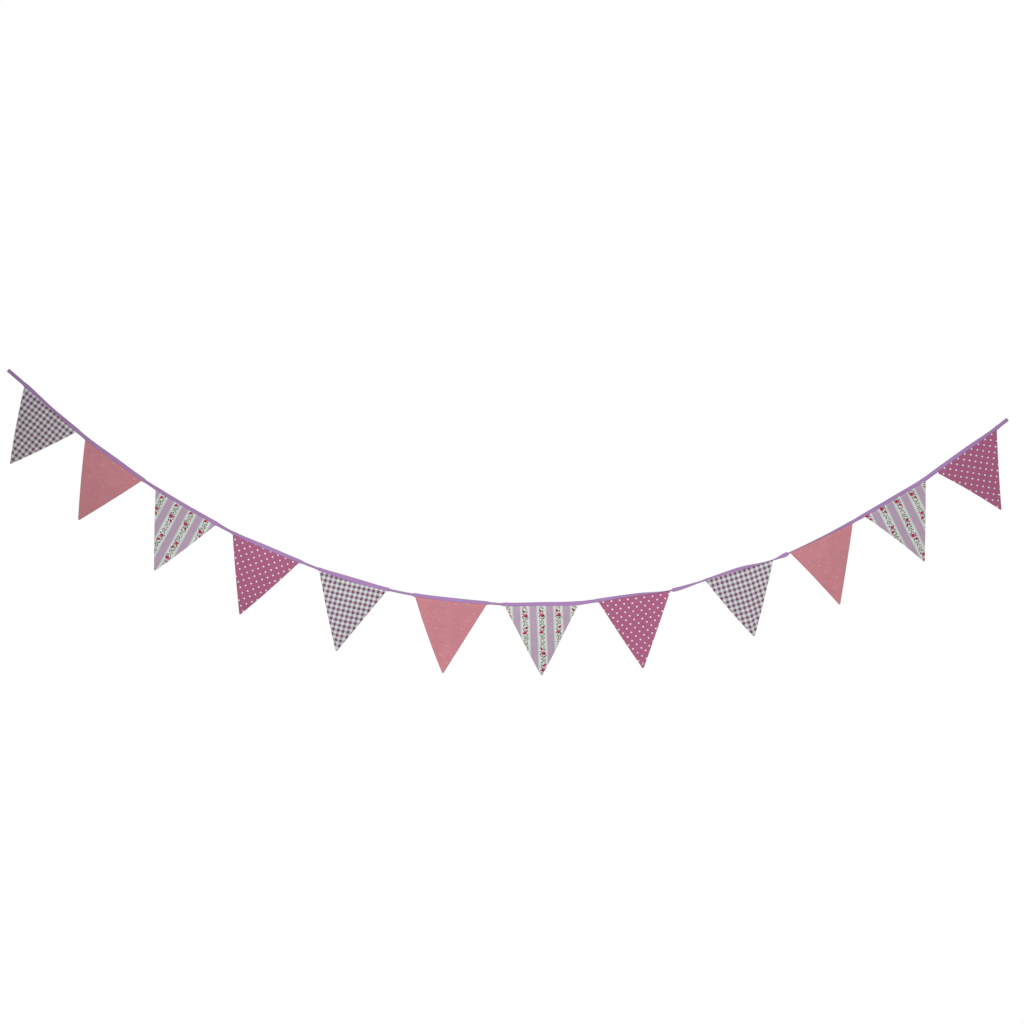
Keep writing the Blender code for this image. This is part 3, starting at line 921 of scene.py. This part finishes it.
def stripe_ground(tree, axes, aside):
    """Pale stripes that grade to grey-green at their edges, and mauve ones with a fine pale hatch."""
    grading = {"Value": aside, "From Min": PALE_TO, "From Max": MAUVE_FROM - GRADED_BEFORE}
    graded = add_node(tree, "ShaderNodeMapRange", grading)
    tones = {"Factor": graded, "A": linear(STRIPE_WHITE), "B": linear(STRIPE_LINE)}
    pale = add_node(tree, "ShaderNodeMix", tones, data_type="RGBA")

    slanting = {0: axes.outputs["Y"], 1: HATCH_SLANT, 2: axes.outputs["X"]}
    slant = add_node(tree, "ShaderNodeMath", slanting, operation="MULTIPLY_ADD")
    turns = {0: slant, 1: 2 * math.pi / HATCH_PITCH}
    angle = add_node(tree, "ShaderNodeMath", turns, operation="MULTIPLY")
    wave = add_node(tree, "ShaderNodeMath", {0: angle}, operation="SINE")
    lines = {"Value": wave, "From Min": -0.4, "From Max": 0.9, "To Max": HATCH_STRENGTH}
    hatch = add_node(tree, "ShaderNodeMapRange", lines)
    greying = {"From Min": MAUVE_FROM, "From Max": STRIPE_PITCH / 2, "To Max": GREYED_SHARE}
    greyed = add_node(tree, "ShaderNodeMapRange", {"Value": aside, **greying})
    tones = {"Factor": greyed, "A": linear(STRIPE_MAUVE), "B": linear(STRIPE_GREY)}
    plain = add_node(tree, "ShaderNodeMix", tones, data_type="RGBA")
    tones = {"Factor": hatch, "A": plain, "B": linear(STRIPE_WHITE)}
    mauve = add_node(tree, "ShaderNodeMix", tones, data_type="RGBA")

    border = {"From Min": MAUVE_FROM - PRINT_EDGE, "From Max": MAUVE_FROM + PRINT_EDGE}
    in_mauve = add_node(tree, "ShaderNodeMapRange", {"Value": aside, **border})
    stripes = {"Factor": in_mauve, "A": pale, "B": mauve}
    return add_node(tree, "ShaderNodeMix", stripes, data_type="RGBA")


def print_spray(tree, place, aside, colour):
    """Small green leaves scattered down the middle of each pale stripe."""
    leafy = {"Vector": place, "Scale": 1 / SPRAY_LEAF, "Detail": 0.0}
    leaves = add_node(tree, "ShaderNodeTexNoise", leafy, noise_dimensions="2D")
    leafed = add_node(tree, "ShaderNodeMapRange", {"Value": leaves, "From Min": 0.56, "From Max": 0.64})
    band = {"From Min": SPRAY_HALF, "From Max": SPRAY_HALF - SPRAY_FADE, "To Max": SPRAY_STRENGTH}
    within = add_node(tree, "ShaderNodeMapRange", {"Value": aside, **band})
    spray = add_node(tree, "ShaderNodeMath", {0: leafed, 1: within}, operation="MULTIPLY")
    tones = {"Factor": spray, "A": colour, "B": linear(SPRAY_GREEN)}
    return add_node(tree, "ShaderNodeMix", tones, data_type="RGBA")


def print_vine(tree, place, cell, colour):
    """The rose vine's ovals, one ink after the other, with edges as worn as a print's on cotton."""
    ragged = {"Vector": place, "Scale": 1 / VINE_RAG, "Detail": 1.0}
    rag = add_node(tree, "ShaderNodeTexNoise", ragged, noise_dimensions="2D")
    for ink, ink_colour in VINE_COLOURS.items():
        nearest = FAR_FROM_OVALS
        for oval_ink, across, down, half_length, half_width, turn in VINE:
            if oval_ink != ink:
                continue
            laid = {
                "Vector": cell,
                "Location": (across, down, 0.0),
                "Rotation": (0.0, 0.0, math.radians(turn)),
                "Scale": (half_length, half_width, 1.0),
            }
            oval = add_node(tree, "ShaderNodeMapping", laid, vector_type="TEXTURE")
            away = add_node(tree, "ShaderNodeVectorMath", {0: oval}, operation="LENGTH")
            nearest = add_node(tree, "ShaderNodeMath", {0: away, 1: nearest}, operation="MINIMUM")
        wear = {0: rag, 1: VINE_WEAR, 2: nearest}
        worn = add_node(tree, "ShaderNodeMath", wear, operation="MULTIPLY_ADD")
        rim = {"Value": worn, "From Min": VINE_OUTER, "From Max": VINE_INNER}
        mark = add_node(tree, "ShaderNodeMapRange", rim)
        tones = {"Factor": mark, "A": colour, "B": linear(ink_colour)}
        colour = add_node(tree, "ShaderNodeMix", tones, data_type="RGBA")
    return colour


def draw_rose_stripe(tree, place):
    """Printed mauve and pale stripes, with a leafy spray and a rose vine down each pale one."""
    axes = add_node(tree, "ShaderNodeSeparateXYZ", {"Vector": place})
    half = STRIPE_PITCH / 2
    one_stripe = {0: axes.outputs["X"], 1: -half, 2: half}
    across = add_node(tree, "ShaderNodeMath", one_stripe, operation="WRAP")
    one_repeat = {0: axes.outputs["Y"], 1: VINE_LOW, 2: VINE_LOW + VINE_REPEAT}
    down = add_node(tree, "ShaderNodeMath", one_repeat, operation="WRAP")
    aside = add_node(tree, "ShaderNodeMath", {0: across}, operation="ABSOLUTE")
    cell = add_node(tree, "ShaderNodeCombineXYZ", {"X": across, "Y": down})
    colour = stripe_ground(tree, axes, aside)
    colour = print_spray(tree, place, aside, colour)
    return print_vine(tree, place, cell, colour)


def draw_plain(tree, place, over):
    """Piece-dyed mauve: warp threads a little lighter than the weft."""
    lighter = [min(channel * WARP_LIGHTER, 1.0) for channel in linear(BINDING_MAUVE)]
    tones = {"Factor": over, "A": linear(BINDING_MAUVE), "B": lighter}
    return add_node(tree, "ShaderNodeMix", tones, data_type="RGBA")


def spun_thread(name):
    """Spun polyester sewing thread: a touch smoother than the cloth, with its two-ply twist as bump."""
    material = bpy.data.materials.new(name)
    material.use_nodes = True
    tree = material.node_tree
    shader = tree.nodes["Principled BSDF"]
    shader.inputs["Roughness"].default_value = 0.6
    shader.inputs["Sheen Weight"].default_value = 0.1
    place = add_node(tree, "ShaderNodeTexCoord", {})
    fibres = {"Vector": place.outputs["Object"], "Scale": 1 / FIBRE_SIZE, "Detail": 2.0}
    plies = add_node(tree, "ShaderNodeTexNoise", fibres)
    tones = {"Factor": plies, "A": linear(THREAD_MAUVE), "B": linear(BINDING_MAUVE)}
    colour = add_node(tree, "ShaderNodeMix", tones, data_type="RGBA")
    tree.links.new(colour.outputs[MIXED_COLOUR], shader.inputs["Base Color"])
    relief = {"Height": plies, "Strength": 0.5, "Distance": TWIST_HEIGHT}
    bump = add_node(tree, "ShaderNodeBump", relief)
    tree.links.new(bump.outputs[0], shader.inputs["Normal"])
    return material


def painted_floor():
    """Matt paint on a smooth board."""
    material = bpy.data.materials.new("matt painted floor")
    material.use_nodes = True
    tree = material.node_tree
    shader = tree.nodes["Principled BSDF"]
    shader.inputs["Roughness"].default_value = 0.9
    shader.inputs["Base Color"].default_value = linear(FLOOR_COLOUR)
    return material


# Studio


def make_floor():
    board = bmesh.new()
    bmesh.ops.create_circle(board, cap_ends=True, segments=96, radius=FLOOR_RADIUS)
    bmesh.ops.translate(board, verts=board.verts, vec=(CAMERA_PLACE[0], 0.0, FLOOR_HEIGHT))
    mesh = bpy.data.meshes.new("floor")
    board.to_mesh(mesh)
    board.free()
    mesh.materials.append(painted_floor())
    floor = bpy.data.objects.new("floor", mesh)
    bpy.context.scene.collection.objects.link(floor)


def make_lamp(name, kind, place, target, power, **settings):
    lamp = bpy.data.lights.new(name, kind)
    lamp.energy = power
    for setting, value in settings.items():
        setattr(lamp, setting, value)
    item = bpy.data.objects.new(name, lamp)
    item.location = place
    item.rotation_euler = (Vector(target) - Vector(place)).to_track_quat("-Z", "Y").to_euler()
    bpy.context.scene.collection.objects.link(item)


def light_studio():
    """A white room, a soft pool of light on the middle of the string, and a weaker lamp behind it."""
    world = bpy.data.worlds.new("white room")
    world.use_nodes = True
    tree = world.node_tree
    room = tree.nodes["Background"]
    room.inputs["Color"].default_value = WHITE
    room.inputs["Strength"].default_value = AMBIENT
    seen = add_node(tree, "ShaderNodeBackground", {"Color": WHITE, "Strength": 1.0})
    rays = add_node(tree, "ShaderNodeLightPath", {})
    by_ray = {0: rays.outputs["Is Camera Ray"], 1: room, 2: seen}
    mixed = add_node(tree, "ShaderNodeMixShader", by_ray)
    tree.links.new(mixed.outputs[0], tree.nodes["World Output"].inputs["Surface"])
    bpy.context.scene.world = world
    pool = {"spot_size": math.radians(FRONT_SPREAD), "spot_blend": 1.0}
    make_lamp("soft front lamp", "SPOT", **FRONT_LAMP, **pool, shadow_soft_size=FRONT_LAMP_RADIUS)
    make_lamp("weak back lamp", "AREA", **BACK_LAMP, shape="DISK", size=BACK_LAMP_WIDTH)


def set_camera():
    camera = bpy.data.cameras.new("camera")
    camera.lens = LENS
    camera.sensor_width = SENSOR
    item = bpy.data.objects.new("camera", camera)
    item.location = CAMERA_PLACE
    item.rotation_euler = (math.pi / 2, 0.0, 0.0)
    bpy.context.scene.collection.objects.link(item)
    bpy.context.scene.camera = item
    bpy.context.scene.view_settings.view_transform = "Standard"


def main():
    set_camera()
    light_studio()
    make_floor()
    cloths = {
        "gingham": cotton("gingham cotton", draw_gingham, two_tone=True),
        "coral": cotton("printed coral cotton", draw_sprigs),
        "rose_stripe": cotton("printed rose stripe cotton", draw_rose_stripe),
        "raspberry_dot": cotton("printed raspberry dot cotton", draw_dots),
    }
    bias = cotton("mauve bias cotton", draw_plain, two_tone=True, weave_turn=math.pi / 4)
    course = Course()
    strip = make_strip(course, bias)
    stitching = make_stitching(course, spun_thread("spun sewing thread"))
    for index, row in enumerate(PENNANTS):
        make_pennant(index, course, cloths[row[0]])


main()
